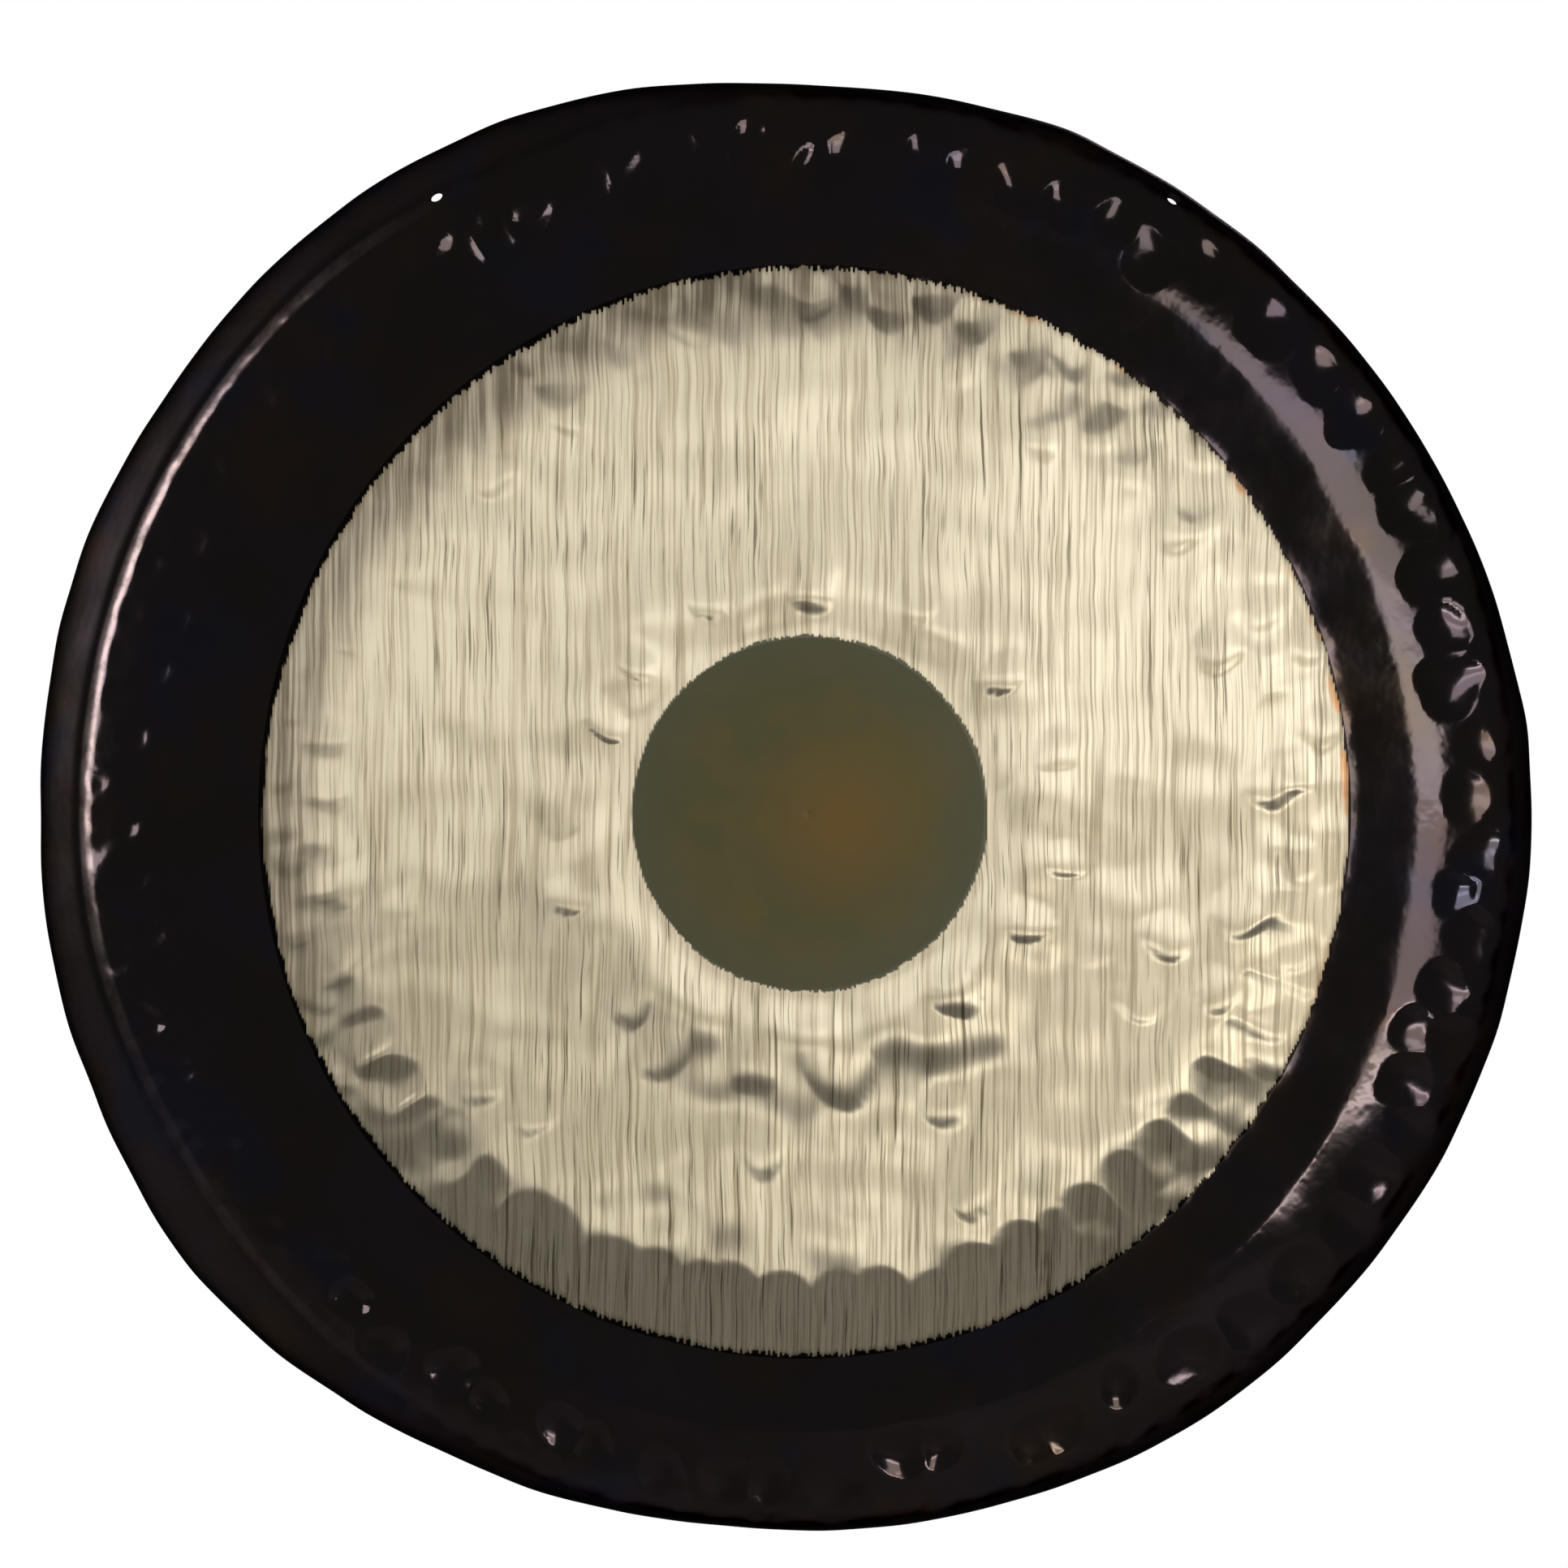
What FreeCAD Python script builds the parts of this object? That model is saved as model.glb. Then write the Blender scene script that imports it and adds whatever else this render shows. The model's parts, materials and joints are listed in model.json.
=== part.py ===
import FreeCAD, Part
import math
import os

# Tam tam gong: one round sheet of hammered nickel silver, with its rim turned back all round.
#
# Millimetres, +Z up, as the gong hangs. The struck face looks towards -Y and the hollow back
# opens towards +Y. The origin is the centre of the gong's box.
#
# The smith lays the sheet out from a centre punch mark. The face, the shoulder and the fold are
# true circles round that mark, and so is the circle the two hanging holes are drilled on. Outside
# the fold the rim is worked by hand, so it flares more on one side than on the other.

Vector = FreeCAD.Vector
doc = FreeCAD.newDocument("tam_tam_gong")

# Driving dimensions, in millimetres and degrees.
DIMENSIONS = {
    "sheet_thickness": 1.8,
    "centre_disc_radius": 114,     # smooth flat disc in the middle
    "flat_band_radius": 385,       # outer edge of the slightly domed face
    "crown_height": 9,             # how far that edge lies behind the centre disc
    "shoulder_radius": 451,        # where the rolled shoulder meets the fold
    "shoulder_slope": 20,          # degrees that the shoulder has turned back by there
    "fold_bend_radius": 14,        # the tight bend between the shoulder and the rim
    "fold_slope": 48,              # degrees turned back at the end of the fold
    "rim_depth": 40,               # from the fold back to the rim's widest line
    "lip_depth": 12,               # from the widest line back to the cut lip
    "lip_share": 0.96,             # how much of the flare is left at the lip
    "hole_radius": 4,
    "hole_circle_radius": 459.5,   # the two hanging holes' distance from the punch mark
    "hole_angle": 31,              # degrees that each hole lies to the side of the top
    "drill_length": 30,
}

# The rim's widest line: its distance from the punch mark, every 15 degrees from +X towards +Z.
OUTLINE_STEP = 15
OUTLINE_RADII = [475, 472, 470, 470, 471, 471, 470, 480, 488, 490, 490, 493,
                 491, 493, 493, 489, 477, 469, 467, 469, 473, 474, 476, 476]


def outline_alias(index):
    """The sheet's name for one outline radius, such as outline_045."""
    return "outline_%03d" % (index * OUTLINE_STEP)


def fill_sheet(sheet, values):
    """Writes each name beside its number, and gives the number's cell that name."""
    for row, (name, number) in enumerate(values.items(), start=1):
        sheet.set("A%d" % row, name)
        sheet.set("B%d" % row, str(number))
        sheet.setAlias("B%d" % row, name)
    doc.recompute()


sheet = doc.addObject("Spreadsheet::Sheet", "Dimensions")
outline_cells = {outline_alias(i): radius for i, radius in enumerate(OUTLINE_RADII)}
fill_sheet(sheet, {**DIMENSIONS, **outline_cells})


def size(name):
    """One driving dimension, read from the sheet."""
    return float(sheet.get(name))


# --- The gong's section ---------------------------------------------------------------------
#
# A station is one circle round the punch mark: its radius, the share of the rim's flare that
# it has (0 on the face, 1 at the widest line) and its depth behind the centre disc.

def face_stations():
    """The shallow dome: depth grows with the square of the radius from the centre disc out."""
    start, end = size("centre_disc_radius"), size("flat_band_radius")
    circles = 5
    for i in range(circles):
        radius = start + (end - start) * i / (circles - 1)
        rise = (radius ** 2 - start ** 2) / (end ** 2 - start ** 2)
        yield radius, 0, size("crown_height") * rise


def face_edge_slope():
    """The dome's slope at its outer edge, in radians."""
    start, end = size("centre_disc_radius"), size("flat_band_radius")
    return math.atan(2 * size("crown_height") * end / (end ** 2 - start ** 2))


def arc_stations(radius, depth, bend, slope_from, slope_to, parts):
    """An arc of the section that starts at (radius, depth) and turns back between two slopes."""
    for i in range(1, parts + 1):
        slope = slope_from + (slope_to - slope_from) * i / parts
        out = bend * (math.sin(slope) - math.sin(slope_from))
        back = bend * (math.cos(slope_from) - math.cos(slope))
        yield radius + out, 0, depth + back


def shoulder_stations(radius, depth):
    """The rolled shoulder, one long arc from the edge of the face to the start of the fold."""
    slope_from, slope_to = face_edge_slope(), math.radians(size("shoulder_slope"))
    bend = (size("shoulder_radius") - radius) / (math.sin(slope_to) - math.sin(slope_from))
    return arc_stations(radius, depth, bend, slope_from, slope_to, 4)


def fold_stations(radius, depth):
    """The fold, one short tight arc."""
    slope_from, slope_to = math.radians(size("shoulder_slope")), math.radians(size("fold_slope"))
    return arc_stations(radius, depth, size("fold_bend_radius"), slope_from, slope_to, 3)


def rim_stations(radius, depth):
    """The rim: straight at first, then rounding over the widest line and in to the lip."""
    for share, back in ((0.27, 0.22), (0.54, 0.45), (0.78, 0.68), (0.94, 0.87), (1, 1)):
        yield radius, share, depth + size("rim_depth") * back
    depth += size("rim_depth")
    yield radius, size("lip_share"), depth + size("lip_depth")


def section_stations():
    """All the stations, and the numbers of the last ones on the face and on the fold."""
    stations = list(face_stations())
    last = [len(stations) - 1]
    for more in (shoulder_stations, fold_stations, rim_stations):
        radius, _, depth = stations[-1]
        stations += list(more(radius, depth))
        last.append(len(stations) - 1)
    face_end, _, fold_end, _ = last
    return stations, face_end, fold_end


def outer_section(stations, outline_radius):
    """The outer skin's points (radius, depth) on the side where the rim is outline_radius wide."""
    fold = stations[-1][0]
    flare = outline_radius - fold
    return [(radius + share * flare, depth) for radius, share, depth in stations]


def inner_section(outer):
    """The inner skin: each outer point moved in by the sheet's thickness, square to the section."""
    thickness = size("sheet_thickness")
    points = [(outer[0][0], outer[0][1] + thickness)]
    for before, here, after in zip(outer, outer[1:], outer[2:]):
        out, back = after[0] - before[0], after[1] - before[1]
        length = math.hypot(out, back)
        points.append((here[0] - thickness * back / length, here[1] + thickness * out / length))
    # The lip is cut square to +Y, so both skins end at the same depth.
    points.append((outer[-1][0] - thickness, outer[-1][1]))
    return points


# --- The sheet ------------------------------------------------------------------------------

def ring(points):
    """A closed smooth curve through one (radius, depth) point at each of the outline's angles."""
    corners = []
    for index, (radius, depth) in enumerate(points):
        angle = math.radians(index * OUTLINE_STEP)
        corners.append(Vector(radius * math.cos(angle), depth, radius * math.sin(angle)))
    curve = Part.BSplineCurve()
    knots = [float(i) for i in range(len(corners) + 1)]
    curve.interpolate(Points=corners, PeriodicFlag=True, Parameters=knots)
    return curve


def lengths_along(section):
    """The length along a section at each of its stations."""
    lengths = [0.0]
    for (radius_a, depth_a), (radius_b, depth_b) in zip(section, section[1:]):
        lengths.append(lengths[-1] + math.hypot(radius_b - radius_a, depth_b - depth_a))
    return lengths


def skin(sections):
    """One skin of the sheet: a smooth surface through every ring, closed round the punch mark.

    Over it u counts the outline's steps from +X towards +Z, and v is the length along the section.
    """
    rings = [ring(points) for points in zip(*sections)]
    columns = []
    for poles in zip(*[one_ring.getPoles() for one_ring in rings]):
        column = Part.BSplineCurve()
        column.interpolate(Points=list(poles), Parameters=section_length)
        columns.append(column)
    surface = Part.BSplineSurface()
    surface.buildFromPolesMultsKnots(
        [column.getPoles() for column in columns],
        rings[0].getMultiplicities(), columns[0].getMultiplicities(),
        rings[0].getKnots(), columns[0].getKnots(), True, False,
        rings[0].Degree, columns[0].Degree)
    return surface


def sectors():
    """The sheet is drawn in sectors, so that each of its faces stays simple."""
    count = 6
    steps = len(OUTLINE_RADII) // count
    return [(i * steps, (i + 1) * steps) for i in range(count)]


def skin_faces(surface):
    """A skin's faces: in each sector the face, the shoulder with its fold, and the rim."""
    cuts = [section_length[i] for i in (0, face_end, fold_end, -1)]
    faces = []
    for first, last in sectors():
        for near, far in zip(cuts, cuts[1:]):
            patch = surface.copy()
            patch.segment(first, last, near, far)
            faces.append(patch.toShape())
    return faces


def ring_wire(surface, v):
    """The closed ring of a skin at v, with one edge for each sector."""
    curve = surface.vIso(v)
    return Part.Wire([curve.toShape(first, last) for first, last in sectors()])


def plain_sheet(outer, inner):
    """The whole sheet before drilling: two skins, the flat centre disc's two faces and the lip."""
    centre, lip = section_length[0], section_length[-1]
    faces = skin_faces(outer) + skin_faces(inner)
    faces += [Part.Face(ring_wire(surface, centre)) for surface in (outer, inner)]
    lip_wires = [ring_wire(surface, lip) for surface in (outer, inner)]
    faces.append(Part.makeFace(lip_wires, "Part::FaceMakerBullseye"))
    shell = Part.makeShell(faces)
    shell.sewShape(0.001)
    solid = Part.makeSolid(Part.Shell(shell.Faces))
    if solid.Volume < 0:
        solid.reverse()
    return solid


stations, face_end, fold_end = section_stations()
outer_sections = [outer_section(stations, size(outline_alias(i)))
                  for i in range(len(OUTLINE_RADII))]
inner_sections = [inner_section(section) for section in outer_sections]
section_length = lengths_along(outer_sections[0])
outer_skin = skin(outer_sections)
inner_skin = skin(inner_sections)

plain_gong = doc.addObject("Part::Feature", "plain_gong")
plain_gong.Shape = plain_sheet(outer_skin, inner_skin)


# --- The hanging holes ----------------------------------------------------------------------

def place_on_rim(angle, radius):
    """The outer skin's point and outward normal at an angle and radius between fold and lip."""
    u = angle / OUTLINE_STEP
    near, far = section_length[fold_end], section_length[-2]
    for _ in range(50):
        v = (near + far) / 2
        point = outer_skin.value(u, v)
        if math.hypot(point.x, point.z) < radius:
            near = v
        else:
            far = v
    normal = outer_skin.normal(u, v)
    if normal.y > 0:
        normal = normal * -1
    return point, normal


def hanging_hole(name, side):
    """A drill square to the sheet, beside the top. side is -1 for the left hole, 1 for the right."""
    drill = doc.addObject("Part::Cylinder", name)
    drill.setExpression("Radius", "Dimensions.hole_radius")
    drill.setExpression("Height", "Dimensions.drill_length")
    point, normal = place_on_rim(90 - side * size("hole_angle"), size("hole_circle_radius"))
    start = point - normal * (size("drill_length") / 2)
    drill.Placement = FreeCAD.Placement(start, FreeCAD.Rotation(Vector(0, 0, 1), normal))
    return drill


drills = doc.addObject("Part::MultiFuse", "drills")
drills.Shapes = [hanging_hole("drill_left", -1), hanging_hole("drill_right", 1)]

gong = doc.addObject("Part::Cut", "gong_disc")
gong.Label = "gong_disc"
gong.Base = plain_gong
gong.Tool = drills
doc.recompute()
exact_box = gong.Shape.optimalBoundingBox(False, False)
gong.Placement = FreeCAD.Placement(exact_box.Center * -1, FreeCAD.Rotation())
doc.recompute()


# --- Checks and export ----------------------------------------------------------------------

for item in doc.Objects:
    assert "Invalid" not in item.State and "Error" not in item.State, item.Name
assert not gong.Shape.isNull() and gong.Shape.isValid(), gong.Label
assert len(gong.Shape.Solids) == 1, gong.Label

os.makedirs("parts", exist_ok=True)
gong.Shape.exportStep("parts/%s.step" % gong.Label)

print("%s: %.1f x %.1f x %.1f mm, %.0f cm3" % (
    gong.Label, exact_box.XLength, exact_box.YLength, exact_box.ZLength,
    gong.Shape.Volume / 1000))
half_sheet = size("sheet_thickness") / 2
for side in (-1, 1):
    point, normal = place_on_rim(90 - side * size("hole_angle"), size("hole_circle_radius"))
    middle = point - normal * half_sheet - exact_box.Center
    print("hole: middle of its wall (%.2f, %.2f, %.2f), axis (%.4f, %.4f, %.4f)" % (
        tuple(middle) + tuple(normal)))
punch_mark = exact_box.Center * -1
print("punch mark on the face: (%.2f, %.2f, %.2f)" % tuple(punch_mark))
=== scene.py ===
# %% [markdown]
# # A tam tam gong in one sheet of metal
#
# A tam tam is a large, nearly flat gong. A smith hammers one disc of nickel silver until its face
# is slightly domed, rolls the shoulder back, and turns the rim round behind it. The sheet comes out
# of the fire black, and then a ring of the face is scraped bright with vertical strokes.
#
# This lesson works the sheet out as one mathematical surface, gives it the hammer's marks, drills
# the two hanging holes, and paints the four finishes with procedural nodes.

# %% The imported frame
import json
import math

import bpy
import numpy as np
from mathutils import Matrix, Vector


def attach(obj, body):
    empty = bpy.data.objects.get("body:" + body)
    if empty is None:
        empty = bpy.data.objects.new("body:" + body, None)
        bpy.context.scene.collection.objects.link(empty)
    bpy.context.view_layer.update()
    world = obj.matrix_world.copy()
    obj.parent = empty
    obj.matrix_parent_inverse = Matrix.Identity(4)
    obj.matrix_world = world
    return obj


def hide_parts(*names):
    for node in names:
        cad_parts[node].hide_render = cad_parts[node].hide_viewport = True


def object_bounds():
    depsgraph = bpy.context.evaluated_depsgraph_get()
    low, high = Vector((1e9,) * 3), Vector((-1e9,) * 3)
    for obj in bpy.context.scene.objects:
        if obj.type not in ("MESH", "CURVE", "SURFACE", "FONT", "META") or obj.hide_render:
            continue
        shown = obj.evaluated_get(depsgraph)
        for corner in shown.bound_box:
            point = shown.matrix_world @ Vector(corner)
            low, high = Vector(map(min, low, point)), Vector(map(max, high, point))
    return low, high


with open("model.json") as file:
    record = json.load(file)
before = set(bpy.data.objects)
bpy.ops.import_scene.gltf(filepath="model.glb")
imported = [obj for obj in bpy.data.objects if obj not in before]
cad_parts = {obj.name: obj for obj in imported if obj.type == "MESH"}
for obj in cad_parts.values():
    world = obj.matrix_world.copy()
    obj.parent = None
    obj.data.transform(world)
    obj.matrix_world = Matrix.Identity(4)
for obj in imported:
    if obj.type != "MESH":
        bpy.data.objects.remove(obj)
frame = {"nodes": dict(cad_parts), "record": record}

cad_box = [list(corner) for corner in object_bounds()]
print("CAD box in metres:", cad_box)

# %% [markdown]
# ## Where the smith starts
#
# Everything on the gong is laid out from a punch mark in the middle of the face. The frame has no
# such point by name, but the centre disc is the frontmost flat part of the sheet, so the middle of
# the frontmost vertices is the punch mark. Reading it from the frame keeps the two models together.

# %% The punch mark and the lip plane
MM = 0.001
sheet_mesh = frame["nodes"]["gong_disc"].data
cad_points = np.empty(len(sheet_mesh.vertices) * 3, np.float32)
sheet_mesh.vertices.foreach_get("co", cad_points)
cad_points = cad_points.reshape(-1, 3).astype(float)

front = cad_points[:, 1].min()
lip_plane = cad_points[:, 1].max()
FLAT = 0.00005   # points this near the front plane, in metres, belong to the flat disc
disc = cad_points[cad_points[:, 1] < front + FLAT]
PUNCH = np.array([(disc[:, 0].min() + disc[:, 0].max()) / 2, front,
                  (disc[:, 2].min() + disc[:, 2].max()) / 2])
LIP_DEPTH = (lip_plane - front) / MM
print("punch mark:", PUNCH.round(5), "lip depth in mm:", round(LIP_DEPTH, 2))

# %% [markdown]
# ## The outline of the rim
#
# The face is a true circle, but the rim is worked by hand and flares more on one side. The lip's
# outer edge in the frame gives the radius at many angles. A sum of a few sine waves, fitted by
# least squares, turns those scattered points into one smooth closed outline. The small corners that
# the hammer left are too sharp for such waves, so they are laid on top as narrow humps.

# %% Fit the outline
lip = cad_points[cad_points[:, 1] > lip_plane - 0.00002] - PUNCH
lip_angle = np.arctan2(lip[:, 2], lip[:, 0])
lip_radius = np.hypot(lip[:, 0], lip[:, 2]) / MM
WAVES = 12


def waves(angle):
    """The columns 1, cos a, sin a, cos 2a, sin 2a and so on, for each angle a."""
    parts = [np.ones_like(angle)]
    for n in range(1, WAVES + 1):
        parts += [np.cos(n * angle), np.sin(n * angle)]
    return np.stack(parts, axis=-1)


outer_edge = np.ones(len(lip_radius), bool)
for _ in range(4):   # the inner edge of the lip lies 1.8 mm further in, so low points are dropped
    outline_fit = np.linalg.lstsq(waves(lip_angle[outer_edge]), lip_radius[outer_edge], rcond=None)[0]
    outer_edge = lip_radius > waves(lip_angle) @ outline_fit - 0.6
print("lip radius in mm:", (waves(np.radians(np.arange(0, 360, 45))) @ outline_fit).round(1))

# angle in degrees, height in mm and half width in degrees of each hump
CORNERS = [(7, 1.4, 3.0), (69, 2.7, 4.0), (94, -0.5, 22.0), (113, 1.7, 3.0), (159, 1.3, 6.0),
           (187, 1.7, 6.0), (201, -1.0, 4.0), (216, 2.3, 6.0), (231, -1.3, 6.0), (248, 1.4, 4.0),
           (263, 1.2, 22.0), (264, -1.0, 6.0), (280, 1.3, 4.0), (294, -1.2, 4.0), (304, 1.1, 3.0),
           (310, 3.0, 22.0), (317, -1.0, 6.0), (359, 2.4, 22.0)]


def outline(angle):
    """The lip's radius in mm: the fitted waves plus a bell-shaped hump at each small corner."""
    radius = waves(angle) @ outline_fit
    for middle, height, width in CORNERS:
        away = (np.degrees(angle) - middle + 180) % 360 - 180
        radius = radius + height * np.exp(-(away / width) ** 2)
    return radius


# %% [markdown]
# ## The section of the sheet
#
# Cut the gong from its middle to its lip and the sheet draws one line: a shallow dome, a rolled
# shoulder, a tight fold, and the rim that runs back to the lip. Each part is a known curve, so the
# whole line is a function of one number, the length along it. The rim is a curve that leaves the
# fold in the fold's own direction and reaches the widest line going straight back, so there is no
# crease where the two meet.

# %% Section lengths and slopes
SHEET = 1.8                    # thickness
DISC_R, FACE_R = 114.0, 385.0  # the flat centre disc and the domed face
CROWN = 9.0                    # how far the face's edge lies behind the centre
SHOULDER_R, SHOULDER_SLOPE = 447.5, math.radians(22)
FOLD_BEND, FOLD_SLOPE = 22.0, math.radians(50)
RIM_DEPTH, LIP_RUN = 40.0, 12.0
LIP_SHARE = 0.96

face_slope = math.atan(2 * CROWN * FACE_R / (FACE_R ** 2 - DISC_R ** 2))
shoulder_bend = (SHOULDER_R - FACE_R) / (math.sin(SHOULDER_SLOPE) - math.sin(face_slope))
SHOULDER_END = FACE_R + shoulder_bend * (SHOULDER_SLOPE - face_slope)
FOLD_END = SHOULDER_END + FOLD_BEND * (FOLD_SLOPE - SHOULDER_SLOPE)
WIDEST = FOLD_END + RIM_DEPTH
LIP = WIDEST + LIP_RUN
print("lengths in mm: shoulder ends %.1f, fold %.1f, lip %.1f" % (SHOULDER_END, FOLD_END, LIP))


def arc(length, bend, slope_from):
    """How far out and back an arc of that bend radius has gone after a length."""
    slope = slope_from + length / bend
    return bend * (np.sin(slope) - math.sin(slope_from)), bend * (math.cos(slope_from) - np.cos(slope))


shoulder_out, shoulder_back = arc(SHOULDER_END - FACE_R, shoulder_bend, face_slope)
fold_out, fold_back = arc(FOLD_END - SHOULDER_END, FOLD_BEND, SHOULDER_SLOPE)
FOLD_R = FACE_R + shoulder_out + fold_out
FOLD_DEPTH = CROWN + shoulder_back + fold_back
rim_room = LIP_DEPTH - LIP_RUN - FOLD_DEPTH    # the depth from the fold to the widest line
print("fold ends at radius %.1f, depth %.1f, and the rim is %.1f deep" % (FOLD_R, FOLD_DEPTH, rim_room))


def section(length, lip_radius):
    """Radius and depth at a length along the section, on the side with that lip radius.

    Dome: depth grows with the square of the radius. Shoulder and fold: circular arcs. Rim: a cubic
    curve through four handles. Lip: straight back, drawn in to LIP_SHARE of the flare."""
    flare = (lip_radius - FOLD_R) / LIP_SHARE
    on_face = np.clip(length, 0, FACE_R)
    rise = np.clip((on_face ** 2 - DISC_R ** 2) / (FACE_R ** 2 - DISC_R ** 2), 0, None)
    out1, back1 = arc(np.clip(length, FACE_R, SHOULDER_END) - FACE_R, shoulder_bend, face_slope)
    out2, back2 = arc(np.clip(length, SHOULDER_END, FOLD_END) - SHOULDER_END, FOLD_BEND, SHOULDER_SLOPE)
    t = np.clip((length - FOLD_END) / RIM_DEPTH, 0, 1)
    reach = np.minimum(16.0, 0.75 * flare / math.cos(FOLD_SLOPE))
    bow1, bow2, bow3 = 3 * t * (1 - t) ** 2, 3 * t ** 2 * (1 - t), t ** 3
    out3 = bow1 * reach * math.cos(FOLD_SLOPE) + (bow2 + bow3) * flare
    back3 = bow1 * reach * math.sin(FOLD_SLOPE) + bow2 * rim_room * 0.62 + bow3 * rim_room
    s = np.clip((length - WIDEST) / LIP_RUN, 0, 1)
    out3 = out3 - flare * (1 - LIP_SHARE) * s ** 2
    return on_face + out1 + out2 + out3, CROWN * rise + back1 + back2 + back3 + LIP_RUN * s


def step(value, low, high):
    """A smooth step from 0 to 1 between low and high."""
    t = np.clip((value - low) / (high - low), 0, 1)
    return t * t * (3 - 2 * t)


FOLD_SHIFT = 7.5   # how much further out the fold lies on the left, where the rim flares


def fold_shift(angle):
    """The fold's shift in mm: full on the left, and none on the right and low down."""
    return FOLD_SHIFT * step(-np.cos(angle), 0.35, 0.75) * step(np.sin(angle), -0.50, -0.10)


def plain_skin(angle, length):
    """The unhammered front skin in mm from the punch mark: the section carried round it."""
    radius, depth = section(length, outline(angle))
    near_fold = step(length, 400, SHOULDER_END)
    radius = radius + fold_shift(angle) * near_fold * (1 - step(length, FOLD_END, WIDEST))
    return np.stack([radius * np.cos(angle), depth, radius * np.sin(angle)], axis=-1)


def outward(angle, length):
    """The skin's outward direction: the cross product of its two slopes, by small differences."""
    along = plain_skin(angle, length + 0.25) - plain_skin(angle, length - 0.25)
    around = plain_skin(angle + 0.0005, length) - plain_skin(angle - 0.0005, length)
    normal = np.cross(along, around)
    return normal / np.maximum(np.linalg.norm(normal, axis=-1, keepdims=True), 1e-12)


# %% [markdown]
# ## The hammer's marks
#
# The smith works on both sides of the sheet. On the shoulder the hammer comes from in front and
# leaves small bowls, up to 6 mm deep. They are widest on the right and shallow on the left. On the face
# it comes from behind and leaves low bumps, steepest at their lower edge, as the blows came at a slant.
# They could be bumps in the material, but they change what the metal mirrors and how its edge looks,
# so they are real geometry. Where two marks meet the stronger one wins, which gives the sharp little
# ridges between them. No blow is quite round, so the places are first pushed about by slow sines.

# %% Lay out the marks
random = np.random.default_rng(38)


def ring_of_marks(count, radius, spread, size, depth):
    """Seeded marks round a circle: columns x, z, mark radius and mark height in mm."""
    angle = (np.arange(count) + random.uniform(-0.33, 0.33, count)) * 2 * np.pi / count
    out = radius + random.normal(0, spread, count)
    return np.stack([out * np.cos(angle), out * np.sin(angle),
                     random.uniform(*size, count), random.uniform(*depth, count)], axis=1)


left_row = ring_of_marks(60, 430, 6.0, (9, 13), (1.3, 2.5))
high_row = ring_of_marks(76, 423, 6.0, (13, 19), (3.6, 6.0))
low_row = ring_of_marks(70, 428, 6.0, (13, 19), (3.8, 6.2))
ridge_row = ring_of_marks(110, 449, 2.5, (8, 12), (0.8, 2.0))

# marks struck hard on the right: x, z, radius, depth in mm from the punch mark
HARD_MARKS = np.array([
    (220, 356, 17, 3.2), (258, 350, 15, 3.4), (297, 315, 18, 3.8), (330, 282, 15, 3.4),
    (352, 254, 18, 4.6), (379, 222, 15, 3.8), (388, 196, 18, 4.2), (405, 154, 19, 5.0),
    (412, 118, 17, 4.2), (417, 82, 20, 4.8), (432, 44, 13, 3.0), (428, 10, 15, 2.6),
    (436, -26, 16, 4.0), (420, -52, 14, 3.4), (431, -80, 16, 4.2), (411, -115, 16, 3.8),
    (419, -146, 15, 4.0), (392, -141, 14, 2.6), (386, -174, 16, 3.4), (393, -206, 16, 3.8),
    (366, -236, 17, 3.6), (352, -266, 17, 3.8), (318, -300, 18, 3.8), (287, -330, 17, 3.4),
    (246, -352, 18, 3.6)])


def side(marks, low, high):
    """The marks of a seeded row whose angle from +X lies between low and high degrees."""
    angle = np.degrees(np.arctan2(marks[:, 1], marks[:, 0])) % 360
    return marks[(angle > low) & (angle < high)]


HARD_WIDER, HARD_DEEPER = 1.18, 1.15
HARD_MARKS[:, 2:] *= (HARD_WIDER, HARD_DEEPER)
shoulder_marks = np.concatenate([side(high_row, 60, 126), side(left_row, 126, 226),
                                 side(low_row, 226, 304), HARD_MARKS, side(ridge_row, 226, 360),
                                 side(ridge_row, 0, 120), side(ridge_row, 120, 226) * (1, 1, 1, 0.5)])

# bumps of the face that stand out: x, z, radius, height in mm from the punch mark
FACE_MARKS = np.array([
    (149, 240, 15, 0.9), (188, 247, 17, 0.8), (234, 184, 17, 0.9), (262, 109, 17, 1.0),
    (299, 20, 20, 1.2), (330, 55, 15, 0.8), (275, -62, 19, 1.1), (167, -26, 16, 0.9),
    (157, 40, 15, 0.8), (125, 90, 15, 0.8), (141, -66, 16, 0.9), (229, -78, 17, 1.0),
    (262, -112, 16, 1.0), (213, -118, 17, 0.9), (94, -116, 15, 1.1), (89, -184, 16, 0.9),
    (105, -246, 13, 0.7), (-29, -216, 16, 0.6), (-36, -160, 18, 1.0), (-174, -188, 16, 0.8),
    (-117, -118, 18, 0.9), (-153, -50, 15, 0.9), (-257, -56, 15, 0.7), (-295, -46, 15, 0.7),
    (-308, 19, 17, 0.8), (-159, 0, 15, 0.6), (-128, 62, 15, 0.8), (-112, 101, 14, 0.6),
    (-66, 136, 15, 0.8), (2, 142, 15, 0.9), (69, 138, 15, 0.8), (-200, 218, 16, 0.9),
    (-153, 258, 17, 0.8), (-236, 236, 15, 0.6), (-272, 212, 15, 0.6), (-210, -170, 16, 0.7),
    (-282, -149, 17, 0.9), (296, 131, 17, 0.9), (322, 108, 14, 0.7), (250, 232, 15, 0.8),
    (224, 253, 14, 0.8), (203, 274, 14, 0.8), (318, -30, 15, 0.8), (312, -92, 15, 0.9),
    (296, -134, 16, 0.9), (-322, -70, 15, 0.7), (-316, -112, 16, 0.8), (-330, 70, 14, 0.6),
    (0, 160, 22, 0.7), (120, 30, 14, 0.6), (-95, -150, 20, 1.0), (20, -165, 22, 1.1)])
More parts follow.
